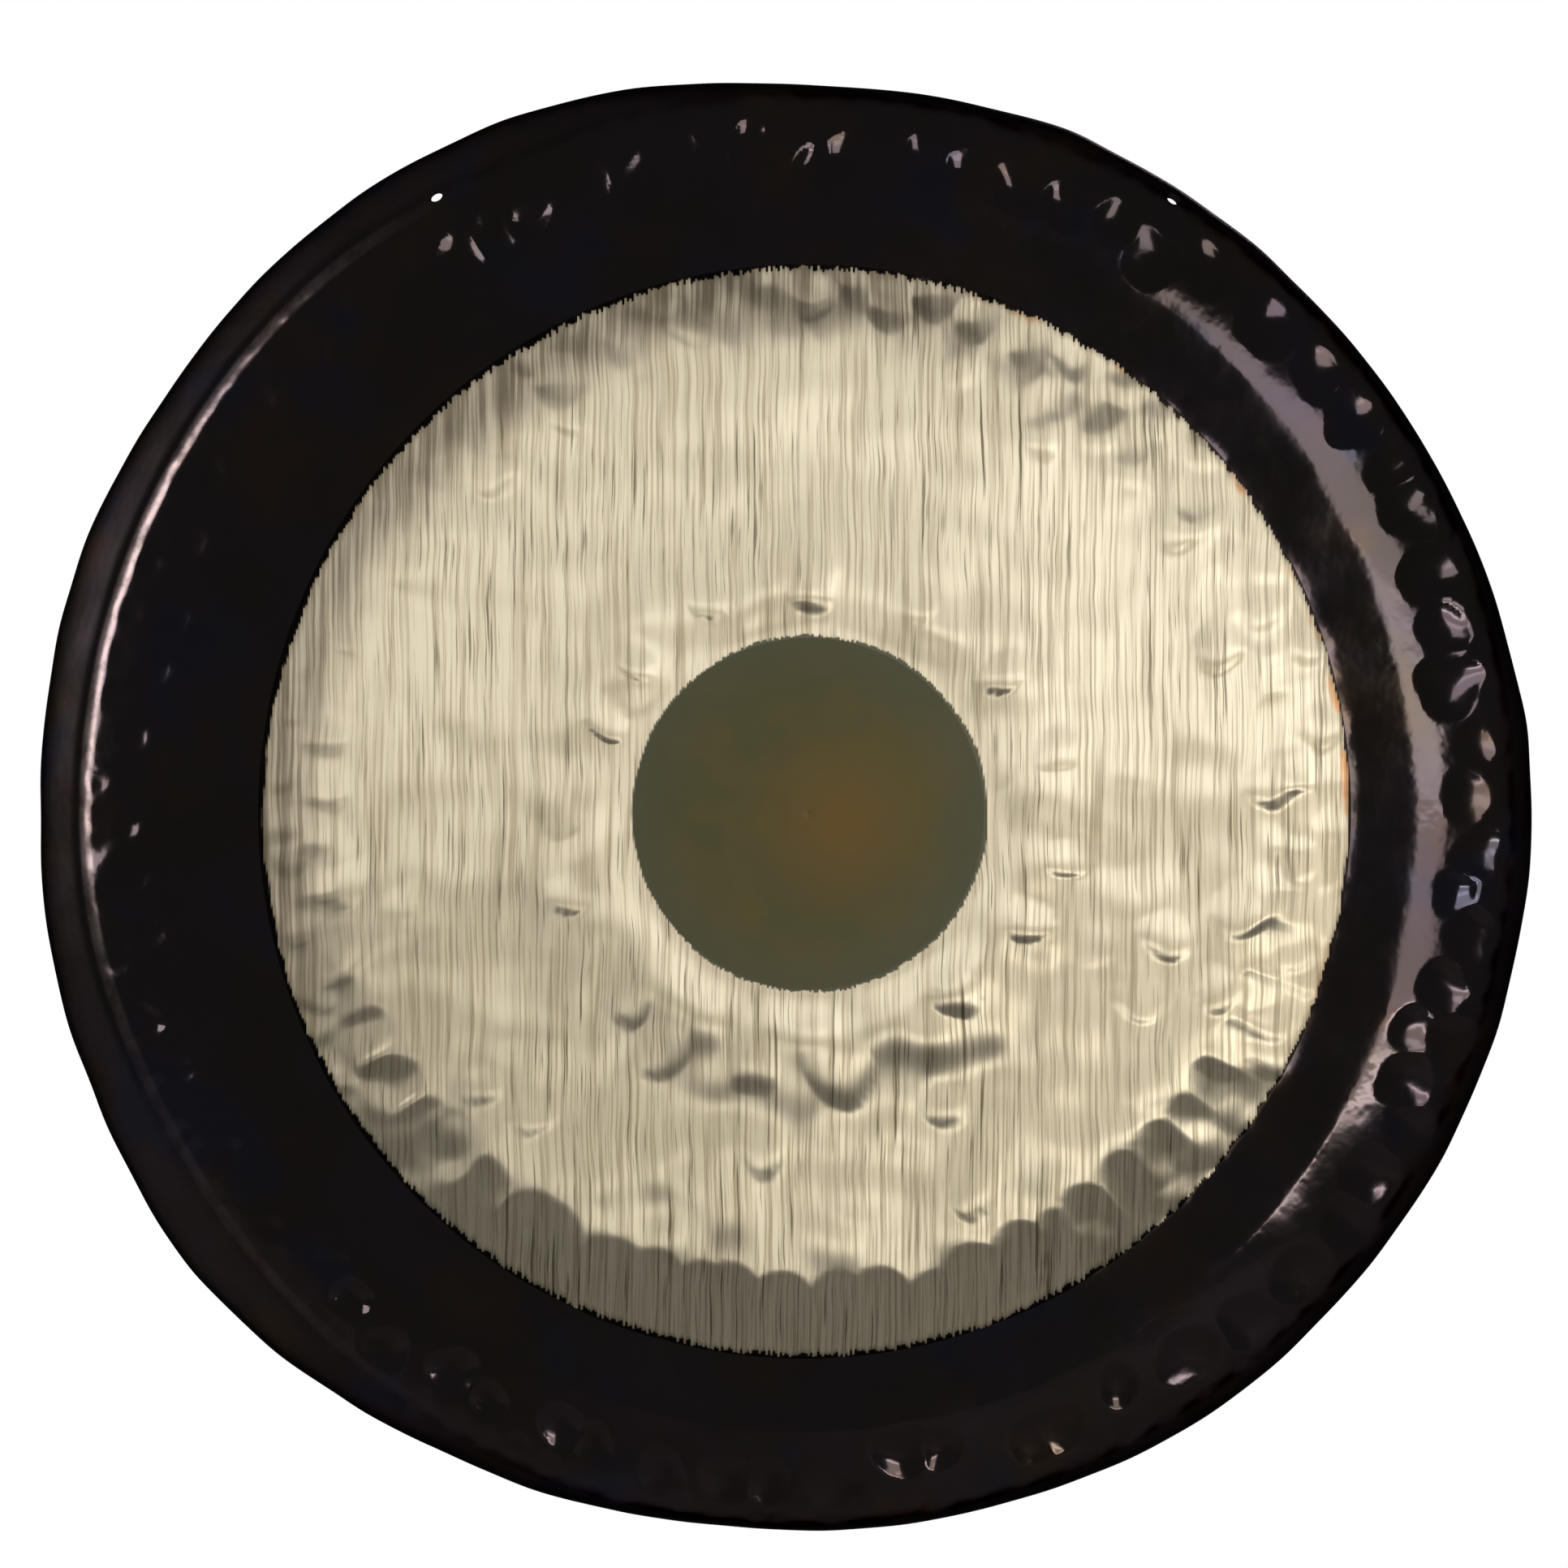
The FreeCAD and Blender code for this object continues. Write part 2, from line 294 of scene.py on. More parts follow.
outer_row = ring_of_marks(46, 312, 8.0, (14, 20), (0.35, 0.9))
edge_row = ring_of_marks(64, 336, 3.5, (11, 16), (0.4, 0.9))
loose_row = ring_of_marks(26, 235, 38.0, (16, 30), (0.15, 0.45))
HIGH_BLOWS, LOW_BLOWS, HIGH_FROM = 2.3, 1.5, 50   # the blows were harder above this height in mm
FACE_MARKS[:, 3] *= np.where(FACE_MARKS[:, 1] > HIGH_FROM, HIGH_BLOWS, LOW_BLOWS)
face_marks = np.concatenate([FACE_MARKS, outer_row, edge_row, loose_row])

# a few blows from in front near the top of the ring: x, z, radius, depth
TOP_DENTS = np.array([(-22, 334, 14, 1.6), (4, 328, 15, 2.1), (30, 333, 13, 1.6), (52, 325, 16, 2.2),
                      (80, 329, 14, 1.7), (108, 316, 15, 1.9), (140, 300, 13, 1.0), (-160, 276, 15, 1.2),
                      (-181, 290, 12, 1.0), (170, 290, 13, 1.2)])
print("marks on the shoulder:", len(shoulder_marks),
      "and on the face:", len(face_marks) + len(TOP_DENTS))


def pushed(x, z):
    """The place moved a few mm by four slow sines, which makes round marks uneven."""
    return (x + 1.7 * np.sin(z / 9.1 + x / 23) + 1.2 * np.sin(z / 5.3 - x / 14),
            z + 1.7 * np.sin(x / 8.3 - z / 19) + 1.2 * np.sin(x / 5.9 + z / 12))


def bowls(x, z, marks, soft):
    """The greatest of depth * (1 - distance^2 / radius^2) over all marks, and not below 0.

    A soft maximum, log of a sum of exponentials, rounds the crisp edges by a few tenths."""
    x, z = pushed(x, z)
    total = np.ones_like(x)
    for mark_x, mark_z, size, depth in marks:
        away = ((x - mark_x) ** 2 + (z - mark_z) ** 2) / size ** 2
        total += np.where(away < 4, np.exp(np.clip(depth * (1 - away) / soft, -40, 40)), 0)
    return soft * np.log(total)


def bumps(x, z):
    """Height of the face's marks: a dome with steep walls, tilted to be highest low down."""
    x, z = pushed(x, z)
    total = np.zeros_like(x)
    for mark_x, mark_z, size, height in face_marks:
        across, up = (x - mark_x) / size, (z - mark_z) / size
        dome = np.clip(1 - across ** 2 - up ** 2, 0, None) ** 0.75
        total = np.maximum(total, height * dome * (0.55 - 0.45 * up))
    return total


# %% [markdown]
# ## The edge of the face
#
# The outer 45 mm of the ring leans back more than the rest, and the black band beyond it comes
# forward again. The lean starts along a row of overlapping hammer facets, so its start is scalloped.
# At the bottom it turns the metal away from the lights, and a dark band with a scalloped edge shows.

# %% Where the edge starts to lean back
LEAN, LEAN_FROM, LEAN_TO, TRUE_AGAIN = 0.086, 302.0, 350.5, 394.0
FACETS = 66
facet_angle = (np.arange(FACETS) + random.uniform(-0.28, 0.28, FACETS)) * 2 * np.pi / FACETS
facet_out = 315 + random.normal(0, 3.5, FACETS)
facet_size = random.uniform(16.5, 22, FACETS)


def lean_start(angle):
    """The radius of the near side of the facets along each angle.

    A disc of size s at distance c, seen at an angle a off its middle, has its near side at
    c cos a - sqrt(s^2 - c^2 sin^2 a). The nearest disc wins."""
    off = angle[..., None] - facet_angle
    inside = facet_size ** 2 - (facet_out * np.sin(off)) ** 2
    near = facet_out * np.cos(off) - np.sqrt(np.clip(inside, 0, None))
    return np.where((inside > 0) & (np.cos(off) > 0), near, 312).min(axis=-1)


# %% [markdown]
# ## Long soft waves
#
# A hammered sheet is never quite true. Sine waves in several directions, with seeded phases, add
# up to slow swells a few tenths of a millimetre high, which bend the reflections gently.

# %% Swells of the sheet
SWELLS = [(random.uniform(0, 2 * np.pi), random.uniform(60, 190), random.uniform(0, 2 * np.pi))
          for _ in range(14)]


def swell(x, z):
    """The mean of sines, each running in its own direction with its own wavelength and phase."""
    total = np.zeros_like(x)
    for direction, wavelength, phase in SWELLS:
        run = x * math.cos(direction) + z * math.sin(direction)
        total += wavelength / 120 * np.sin(2 * np.pi * run / wavelength + phase)
    return total / len(SWELLS)


def leaning(angle, radius):
    """How far the lean takes the sheet back: up a straight slope and down a gentler one.

    The scallops fade out over the middle of the slope. The lean is stronger at the bottom."""
    start = lean_start(angle)
    start = start + (LEAN_FROM - start) * step(radius, 312, 338)
    up = LEAN * np.clip(radius - start, 0, None)
    share_left = np.clip((TRUE_AGAIN - radius) / (TRUE_AGAIN - LEAN_TO), 0, None)
    down = LEAN * (LEAN_TO - LEAN_FROM) * share_left
    rounding = 0.35
    both = up + down - np.sqrt((up - down) ** 2 + rounding ** 2)
    return (1 - 0.4 * np.sin(angle)) * np.where(radius < LEAN_TO - 30, up, np.clip(both / 2, 0, None))


# heights in mm of what stands proud of the plain skin, or is pressed into it
SWELL_HEIGHT, LUMP_HEIGHT, COLLAR_HEIGHT, OUTER_WAVE_HEIGHT = 1.8, 0.9, 2.7, 1.4
PUNCH_DEPTH, PUNCH_RADIUS = 0.7, 0.9
SHOULDER_SOFT, DENT_SOFT = 0.14, 0.05   # rounding of the crisp edges between bowls


def hammered(angle, length):
    """How far the hammered skin stands proud of the plain one, in mm."""
    point = plain_skin(angle, length)
    x, z = point[..., 0], point[..., 2]
    radius = np.hypot(x, z)
    on_shoulder = step(radius, 386, 402) * (1 - step(length, FOLD_END - 1, FOLD_END + 10))
    on_ring = step(radius, 116, 128) * (1 - step(radius, 345, 358))
    waves_share = 0.15 + 0.85 * step(radius, 118, 170)
    collar = (COLLAR_HEIGHT * step(radius, 114, 146) * (1 - step(radius, 148, 200))
              * (0.9 + 0.8 * swell(2 * x, 2 * z)))
    outer_wave = OUTER_WAVE_HEIGHT * step(radius, 212, 292) * (1 - step(radius, 297, 346))
    punch = -PUNCH_DEPTH * np.exp(-(radius / PUNCH_RADIUS) ** 2)
    rim_dents = step(length, FOLD_END + 4, FOLD_END + 20) * swell(1.7 * x + 90, 1.7 * z)
    lumps = on_ring * LUMP_HEIGHT * swell(2.4 * x + 40, 2.4 * z - 25)
    return (waves_share * SWELL_HEIGHT * swell(x, z) + lumps
            - on_shoulder * bowls(x, z, shoulder_marks, SHOULDER_SOFT)
            + on_ring * (bumps(x, z) - bowls(x, z, TOP_DENTS, DENT_SOFT))
            + collar + outer_wave - leaning(angle, radius) + punch + rim_dents)


# %% [markdown]
# ## From rings to a closed mesh
#
# The surface is laid out as rings, from the punch mark over the face and round the lip to the back.
# Small rings need few points and the shoulder needs many, so the number of points doubles or halves
# at a few rings, with three triangles bridging each step. The back skin is the front one moved in
# by the sheet's thickness. Its rings lie further apart, so it shows the larger marks only.

# %% Rings of the two skins
def spaced(start, end, pitch):
    """Evenly spaced lengths from start up to, but without, end."""
    return list(np.linspace(start, end, max(2, round((end - start) / pitch)) + 1)[:-1])


FEW, SOME, MANY, MOST = 150, 300, 600, 1200
front_rings = ([(v, FEW) for v in [0.5, 1.0, 2.0] + spaced(6, 50, 9)]
               + [(v, SOME) for v in spaced(50, 112, 8)]
               + [(v, MANY) for v in spaced(112, 285, 4.6)
                  + spaced(285, 350, 3.3) + spaced(350, 394, 8)]
               + [(v, MOST) for v in spaced(394, FOLD_END + 4, 3.0)]
               + [(v, MANY) for v in spaced(FOLD_END + 4, LIP - 1, 6) + [LIP - 0.6]])
back_rings = ([(v, MANY) for v in [LIP - 0.6] + spaced(FOLD_END, LIP - 3, 10)[::-1]
               + spaced(394, FOLD_END, 7)[::-1]]
              + [(v, SOME) for v in spaced(130, 392, 9)[::-1]]
              + [(v, FEW) for v in spaced(10, 128, 14)[::-1]])


def ring_points(length, count, moved_in):
    """One ring of a skin: count points, moved_in mm behind the hammered front skin."""
    angle = np.arange(count) * 2 * np.pi / count
    along = np.full(count, float(length))
    proud = hammered(angle, along) - moved_in
    return plain_skin(angle, along) + outward(angle, along) * proud[:, None]


def lip_ring(count, moved_in):
    """A ring of the cut lip, which lies flat in the lip plane."""
    points = ring_points(LIP, count, moved_in)
    points[:, 1] = LIP_DEPTH
    return points


rings = [ring_points(v, n, 0) for v, n in front_rings]
front_count = len(rings)
rings += [lip_ring(MANY, 0.35), lip_ring(MANY, SHEET - 0.35)]
rings += [ring_points(v, n, SHEET) for v, n in back_rings]
print("rings:", len(rings), "points:", sum(len(r) for r in rings))


# %% Join the rings
def between(start_a, count_a, start_b, count_b):
    """Faces from one ring to the next as triangles, also where the number of points changes by 2."""
    n = min(count_a, count_b)
    i = np.arange(n)
    j = (i + 1) % n
    a, b = start_a, start_b
    if count_a == count_b:
        corners = ((a + i, b + i, b + j), (a + i, b + j, a + j))
    elif count_b > count_a:
        mid, end = b + 2 * i + 1, b + 2 * j
        corners = ((a + i, b + 2 * i, mid), (a + i, mid, a + j), (a + j, mid, end))
    else:
        mid, end = a + 2 * i + 1, a + 2 * j
        corners = ((a + 2 * i, b + i, mid), (mid, b + i, b + j), (mid, b + j, end))
    return np.concatenate([np.stack(three, 1) for three in corners])


starts = np.cumsum([0] + [len(r) for r in rings])
faces, zones = [], []
BLACK, SCRAPED, OLIVE, RAW = 0, 1, 2, 3
OLIVE_TO, SCRAPED_TO = 108, 350   # the scraped finish paints both ragged borders itself
for k in range(len(rings) - 1):
    faces.append(between(starts[k], len(rings[k]), starts[k + 1], len(rings[k + 1])))
    reach = front_rings[k][0] if k < front_count else math.inf
    zone = (OLIVE if reach < OLIVE_TO else SCRAPED if reach < SCRAPED_TO
            else BLACK if reach < LIP else RAW)
    zones.append(np.full(len(faces[-1]), zone))

points = np.concatenate(rings + [[[0, -hammered(np.zeros(1), np.zeros(1))[0], 0]],
                                 [[0, SHEET - hammered(np.zeros(1), np.full(1, 10.0))[0], 0]]])
first, last = len(points) - 2, len(points) - 1
i = np.arange(FEW)
faces.append(np.stack([np.full(FEW, first), starts[0] + i, starts[0] + (i + 1) % FEW], 1))
faces.append(np.stack([np.full(FEW, last), starts[-2] + (i + 1) % FEW, starts[-2] + i], 1))
zones += [np.full(FEW, OLIVE), np.full(FEW, RAW)]
faces, zones = np.concatenate(faces), np.concatenate(zones)
print("triangles:", len(faces))


# %% [markdown]
# ## The mesh in the scene
#
# The arrays go into the mesh in one call each. A flat map from x and z is kept as a UV layer: the
# scraper's strokes are vertical, so the scraped finish needs to know which way is across them.

# %% Make the gong
def make_mesh(name, points, faces, zones):
    """A smooth-shaded mesh from arrays of points in metres, triangles and finish numbers."""
    mesh = bpy.data.meshes.new(name)
    mesh.from_pydata(points.tolist(), [], faces.tolist())
    mesh.polygons.foreach_set("material_index", zones.astype(np.int32))
    mesh.polygons.foreach_set("use_smooth", np.ones(len(faces), bool))
    flat_map = mesh.uv_layers.new(name="strokes")
    flat = np.stack([points[faces.ravel(), 0], points[faces.ravel(), 2]], 1)
    flat_map.data.foreach_set("uv", flat.ravel().astype(np.float32))
    mesh.update()
    return mesh


gong_mesh = make_mesh("hammered_gong", points * MM + PUNCH, faces, zones)
gong = bpy.data.objects.new("hammered_gong", gong_mesh)
bpy.context.scene.collection.objects.link(gong)
print("gong size in mm:", (np.ptp(points, axis=0)).round(1))

# %% [markdown]
# ## The hanging holes
#
# Two bare holes are drilled square to the sheet just outside the fold. A Boolean does here what the
# drill does. The cutter is a spool, a little wider where it leaves the sheet, so the edge of each
# hole is broken as a deburring tool leaves it. The holes' places come from the frame's mounts.

# %% Drill the holes
N = 48   # sides of the drill


def spool(name, middle, axis, radius):
    """A closed surface of revolution: radius at the middle, widening at 45 degrees at both ends."""
    along = np.array([-6, -0.65, 0.65, 6]) * MM
    width = np.array([radius + 5.35 * MM, radius, radius, radius + 5.35 * MM])
    turn = np.arange(N) * 2 * np.pi / N
    loops = [np.stack([w * np.cos(turn), w * np.sin(turn), np.full(N, a)], 1)
             for a, w in zip(along, width)]
    points = np.concatenate(loops + [[[0, 0, along[0]], [0, 0, along[-1]]]])
    i, j = np.arange(N), (np.arange(N) + 1) % N
    sides = [np.stack([N * k + i, N * k + j, N * k + N + j, N * k + N + i], 1) for k in range(3)]
    caps = [np.stack([np.full(N, 4 * N), j, i], 1).tolist(),
            np.stack([np.full(N, 4 * N + 1), 3 * N + i, 3 * N + j], 1).tolist()]
    mesh = bpy.data.meshes.new(name)
    mesh.from_pydata(points.tolist(), [], np.concatenate(sides).tolist() + caps[0] + caps[1])
    turned = Vector(axis).to_track_quat("Z", "Y").to_matrix().to_4x4()
    mesh.transform(Matrix.Translation(Vector(middle)) @ turned)
    tool = bpy.data.objects.new(name, mesh)
    bpy.context.scene.collection.objects.link(tool)
    return tool


def drill(piece, tool):
    """Cuts the tool out of the piece, keeps the result as the piece's own mesh, and drops the tool."""
    cut = piece.modifiers.new("drill", "BOOLEAN")
    cut.operation, cut.solver, cut.object = "DIFFERENCE", "EXACT", tool
    bpy.context.view_layer.update()
    done = bpy.data.meshes.new_from_object(piece.evaluated_get(bpy.context.evaluated_depsgraph_get()))
    piece.modifiers.clear()
    piece.data = done
    bpy.data.objects.remove(tool)


def sheet_middle(spot, axis):
    """The middle of the hammered sheet where the line through spot along axis goes through it."""
    skin = np.concatenate(rings[:front_count]) * MM + PUNCH
    axis = np.array(axis) / np.linalg.norm(axis)
    along = (skin - spot) @ axis
    aside = np.linalg.norm(skin - spot - along[:, None] * axis, axis=1)
    near = (aside < 4 * MM) & (np.abs(along) < 15 * MM)
    return np.array(spot) + axis * (along[near].mean() - SHEET / 2 * MM)


for mount in frame["record"]["mounts"]:
    if mount["kind"] == "bore":
        hole_radius = mount["dims"]["r_mm"] * MM
        middle = sheet_middle(mount["pos_m"], mount["axis"])
        drill(gong, spool(mount["name"] + "_drill", middle, mount["axis"], hole_radius))
gong.data.name = "hammered_gong"
print("after drilling:", len(gong.data.polygons), "faces")

# %% [markdown]
# ## A small kit for the finishes
#
# Materials are graphs of nodes. One small class keeps them short: it adds a node and wires or sets its
# inputs, does arithmetic, carries a value from one range to another, and blends two colours.


# %% Node helpers
class Finish:
    """A new material and short ways to add nodes to it."""

    def __init__(self, name):
        self.material = bpy.data.materials.new(name)
        self.material.use_nodes = True
        self.tree = self.material.node_tree
        self.surface = self.tree.nodes["Principled BSDF"]
        self.place = self.add("ShaderNodeTexCoord").outputs["Object"]

    def plug(self, socket, value):
        """Wires a socket into an input, or sets the input to a plain value."""
        if isinstance(value, bpy.types.NodeSocket):
            self.tree.links.new(value, socket)
        else:
            socket.default_value = value

    def add(self, kind, settings=None, **inputs):
        """A node of that kind, with its settings, and with inputs named by their labels."""
        node = self.tree.nodes.new(kind)
        for name, value in (settings or {}).items():
            setattr(node, name, value)
        for name, value in inputs.items():
            self.plug(node.inputs[name.replace("_", " ")], value)
        return node

    def sum(self, operation, *values):
        """One arithmetic node's result."""
        node = self.tree.nodes.new("ShaderNodeMath")
        node.operation = operation
        for socket, value in zip(node.inputs, values):
            self.plug(socket, value)
        return node.outputs[0]

    def times(self, first, *others):
        """The product of all the values."""
        for value in others:
            first = self.sum("MULTIPLY", first, value)
        return first

    def ramp(self, value, low, high, to_low=0.0, to_high=1.0):
        """The value carried smoothly from low..high to to_low..to_high."""
        node = self.add("ShaderNodeMapRange", {"interpolation_type": "SMOOTHSTEP"})
        for socket, number in zip(node.inputs, (value, low, high, to_low, to_high)):
            self.plug(socket, number)
        return node.outputs[0]

    def mix(self, share, first, second):
        """First colour where share is 0, second where it is 1."""
        node = self.add("ShaderNodeMix", {"data_type": "RGBA"})
        for index, value in ((0, share), (6, first), (7, second)):
            if index and not isinstance(value, bpy.types.NodeSocket):
                value = (*value, 1.0)
            self.plug(node.inputs[index], value)
        return node.outputs[2]

    def stretched(self, per_metre, shift=(0, 0, 0)):
        """The place on the gong, scaled by so many pattern cells for each metre on each axis."""
        node = self.add("ShaderNodeMapping", Vector=self.place)
        node.inputs["Scale"].default_value = per_metre
        node.inputs["Location"].default_value = shift
        return node.outputs[0]

    def noise(self, vector, scale=1.0, detail=2.0, roughness=0.5, distortion=0.0):
        """Cloudy noise between 0 and 1."""
        node = self.add("ShaderNodeTexNoise", Vector=vector, Scale=scale, Detail=detail,
                        Roughness=roughness, Distortion=distortion)
        return node.outputs["Fac"]

    def bump(self, height, distance, strength=1.0, under=None):
        """A normal bent by a height, for relief of about that distance in metres."""
        node = self.add("ShaderNodeBump", Height=height, Distance=distance, Strength=strength)
        if under is not None:
            self.plug(node.inputs["Normal"], under)
        return node.outputs[0]

    def from_punch(self):
        """x and z from the punch mark in metres, and the distance from it."""
        node = self.add("ShaderNodeVectorMath", {"operation": "SUBTRACT"})
        self.plug(node.inputs[0], self.place)
        node.inputs[1].default_value = PUNCH
        split = self.add("ShaderNodeSeparateXYZ", Vector=node.outputs[0])
        x, z = split.outputs[0], split.outputs[2]
        return x, z, self.distance(x, z)

    def distance(self, x, z):
        """The square root of x squared plus z squared."""
        return self.sum("SQRT", self.sum("ADD", self.times(x, x), self.times(z, z)))


# %% [markdown]
# ## The black oxide
#
# Fire leaves a thin glossy black skin on the metal. It mirrors its surroundings faintly, and where
# it is thinner it turns brown, mauve or blue. It is painted as a metal with a very dark colour, with
# clouds of those tints, gloss that varies from place to place, and fine relief so that reflections
# are never perfectly clean. On the left the ridge of the fold is painted lighter and pinker. This is
# partly the thin skin where the ridge rubs against things, and partly a painted highlight of the left
# lamp.

# %% Black oxide
OXIDE = (0.039, 0.032, 0.029)
OXIDE_MAUVE = (0.043, 0.034, 0.040)
OXIDE_BROWN = (0.055, 0.038, 0.027)
OXIDE_BLUE = (0.032, 0.034, 0.050)
# rubbed skin and painted highlight: the lighter colour of the ridge on the left
RUBBED_AND_HIGHLIGHT = (0.34, 0.27, 0.26)


def oxide_colour(finish):
    """Black with clouds of mauve, brown and blue."""
    clouds = finish.noise(finish.stretched((14, 14, 14)), detail=3, roughness=0.5)
    brown = finish.noise(finish.stretched((10, 10, 10), (3, 5, 1)), detail=4, roughness=0.55)
    blue = finish.noise(finish.stretched((13, 13, 13), (7, 2, 9)), detail=2)
    colour = finish.mix(finish.ramp(clouds, 0.30, 0.66), OXIDE, OXIDE_MAUVE)
    colour = finish.mix(finish.ramp(brown, 0.50, 0.70, 0, 0.9), colour, OXIDE_BROWN)
    return finish.mix(finish.ramp(blue, 0.54, 0.70, 0, 0.8), colour, OXIDE_BLUE)


def oxide_relief(finish):
    """Fine forge texture under a slower ripple."""
    grain = finish.noise(finish.stretched((420, 420, 420)), detail=3)
    ripple = finish.noise(finish.stretched((62, 62, 62), (1, 4, 2)), detail=2)
    return finish.bump(ripple, 0.0006, 0.5, finish.bump(grain, 0.00003, 0.4))


black = Finish("black_oxide")
black.surface.inputs["Metallic"].default_value = 1.0
black.surface.inputs["Specular Tint"].default_value = (0.12, 0.11, 0.12, 1.0)
x, z, out = black.from_punch()
rub_noise = black.noise(black.stretched((70, 30, 70), (4, 4, 4)), detail=5, roughness=0.7)
# the fold's shift again, in metres, with nearly the same smooth steps as fold_shift
shift = black.times(black.ramp(x, -0.160, -0.343, 0, FOLD_SHIFT * MM), black.ramp(z, -0.23, -0.045))
from_fold = black.sum("SUBTRACT", out, shift)
on_ridge = black.times(black.ramp(from_fold, 0.4475, 0.4505), black.ramp(from_fold, 0.4580, 0.4550))
on_left = black.times(black.ramp(x, -0.22, -0.38), black.ramp(z, -0.20, 0.0, 0.15, 1.0))
left_ridge = black.times(on_ridge, on_left)
# painted highlight on the left ridge only, together with the thinner rubbed skin there
rubbed_and_highlight = black.times(left_ridge, black.ramp(rub_noise, 0.30, 0.60, 0.12, 0.50))
black.plug(black.surface.inputs["Base Color"], black.mix(rubbed_and_highlight, oxide_colour(black), RUBBED_AND_HIGHLIGHT))
gloss = black.noise(black.stretched((30, 30, 30), (2, 8, 6)), detail=4, roughness=0.6)
# the rim outside the fold is sooty and less glossy, and so is the left ridge, whose colour is painted
# lighter as rubbed skin and painted highlight
sooty = black.sum("MAXIMUM", black.ramp(from_fold, 0.4575, 0.4640, 0, 0.24),
                  black.times(left_ridge, 0.17))
black_rough = black.sum("ADD", black.ramp(gloss, 0.3, 0.7, 0.09, 0.15), sooty)
black.plug(black.surface.inputs["Roughness"], black_rough)
black.plug(black.surface.inputs["Normal"], oxide_relief(black))

# %% [markdown]
# ## The raw back
#
# Nobody polishes the hollow side. Its oxide is dull and brown, with darker scale in clouds and
# the rings of the planishing wheel still showing. It is partly matt, so it is a mix of metal and
# plain brown, with rings made from the distance to the punch mark.

# %% Raw back
RAW_DARK, RAW_BROWN = (0.070, 0.052, 0.042), (0.150, 0.112, 0.082)
RAW_BLOOM, RAW_RINGS = (0.085, 0.080, 0.098), (0.220, 0.170, 0.115)

raw = Finish("raw_back_oxide")
raw.surface.inputs["Metallic"].default_value = 0.45
x, z, out = raw.from_punch()
scale_clouds = raw.noise(raw.stretched((18, 18, 18), (2, 2, 7)), detail=5, roughness=0.62)
bloom = raw.noise(raw.stretched((5, 5, 5), (9, 1, 4)), detail=3)
rings_place = raw.add("ShaderNodeCombineXYZ", X=raw.times(out, 260.0), Y=raw.times(x, 3.0),
                      Z=raw.times(z, 3.0)).outputs[0]
wheel_rings = raw.noise(rings_place, detail=3, roughness=0.6)
raw_tone = raw.mix(raw.ramp(scale_clouds, 0.32, 0.68), RAW_DARK, RAW_BROWN)
raw_tone = raw.mix(raw.ramp(bloom, 0.45, 0.70, 0, 0.5), raw_tone, RAW_BLOOM)
raw_tone = raw.mix(raw.ramp(wheel_rings, 0.55, 0.75, 0, 0.5), raw_tone, RAW_RINGS)
raw.plug(raw.surface.inputs["Base Color"], raw_tone)
raw.plug(raw.surface.inputs["Roughness"], raw.ramp(scale_clouds, 0.3, 0.7, 0.50, 0.34))
raw_relief = raw.bump(scale_clouds, 0.0004, 0.4, raw.bump(wheel_rings, 0.00008, 0.5))
raw.plug(raw.surface.inputs["Normal"], raw_relief)

# %% [markdown]
# ## The olive centre
#
# The centre disc is left unscraped, but it was smoothed, so its oxide is thin and satin: an olive
# green that drifts to brown and orange right of the middle and to grey green at its edge. It is
# half matt, because it shows its own colour and no reflections. The scraped finish paints the last
# few millimetres of it up to the ragged border, so the colour is a function that both can call.

# %% Olive centre
OLIVE_METAL = 0.25
OLIVE_GREEN, OLIVE_BROWN = (0.095, 0.090, 0.034), (0.118, 0.097, 0.031)
OLIVE_WARM, OLIVE_GREY = (0.170, 0.098, 0.022), (0.095, 0.097, 0.055)


def olive_colour(finish):
    """Olive with slow clouds, a warm spot right of the punch mark and a greyer edge."""
    x, z, out = finish.from_punch()
    drift = finish.noise(finish.stretched((16, 16, 16)), detail=4, roughness=0.55)
    warm_spot = finish.distance(finish.sum("SUBTRACT", x, 0.020), finish.sum("ADD", z, 0.004))
    spread = finish.sum("ADD", warm_spot, finish.times(drift, 0.05))
    colour = finish.mix(finish.ramp(drift, 0.35, 0.65), OLIVE_GREEN, OLIVE_BROWN)
    colour = finish.mix(finish.ramp(spread, 0.095, 0.02, 0, 0.9), colour, OLIVE_WARM)
    return finish.mix(finish.ramp(out, 0.070, 0.118, 0, 0.8), colour, OLIVE_GREY)


olive = Finish("olive_centre")
olive.surface.inputs["Metallic"].default_value = OLIVE_METAL
olive.surface.inputs["Specular IOR Level"].default_value = 0.3
satin = olive.noise(olive.stretched((60, 60, 60)), detail=3)
brushed = olive.noise(olive.stretched((700, 1, 18)), detail=2)
olive.plug(olive.surface.inputs["Base Color"], olive_colour(olive))
olive.plug(olive.surface.inputs["Roughness"], olive.ramp(satin, 0.3, 0.7, 0.44, 0.56))
olive.plug(olive.surface.inputs["Normal"], olive.bump(brushed, 0.00005, 0.4))

# %% [markdown]
# ## The scraped ring
#
# The bright ring is the bare metal after a hand scraper has gone over it in long vertical strokes.
# Such strokes scatter light sideways but not up and down, so the ring glows from lights at both
# sides while the black beside it stays black. The material does the same with anisotropy: its wide
# direction lies across the strokes. The strokes themselves are noise squeezed thin in x and
# stretched long in z. Each stroke ends a little higher or lower than the next, so the borders are
# cut into narrow columns, and every column gets its own random offset.

# %% Scraped metal
SILVER = (0.74, 0.67, 0.50)
SILVER_DEEP = (0.46, 0.395, 0.265)
GROOVE = (0.12, 0.095, 0.055)
# black oxide outside the ragged edge, painted darker than the black finish as painted shade, so it stays
# black under the side lamps
OXIDE_WITH_PAINTED_SHADE = (0.009, 0.007, 0.006)
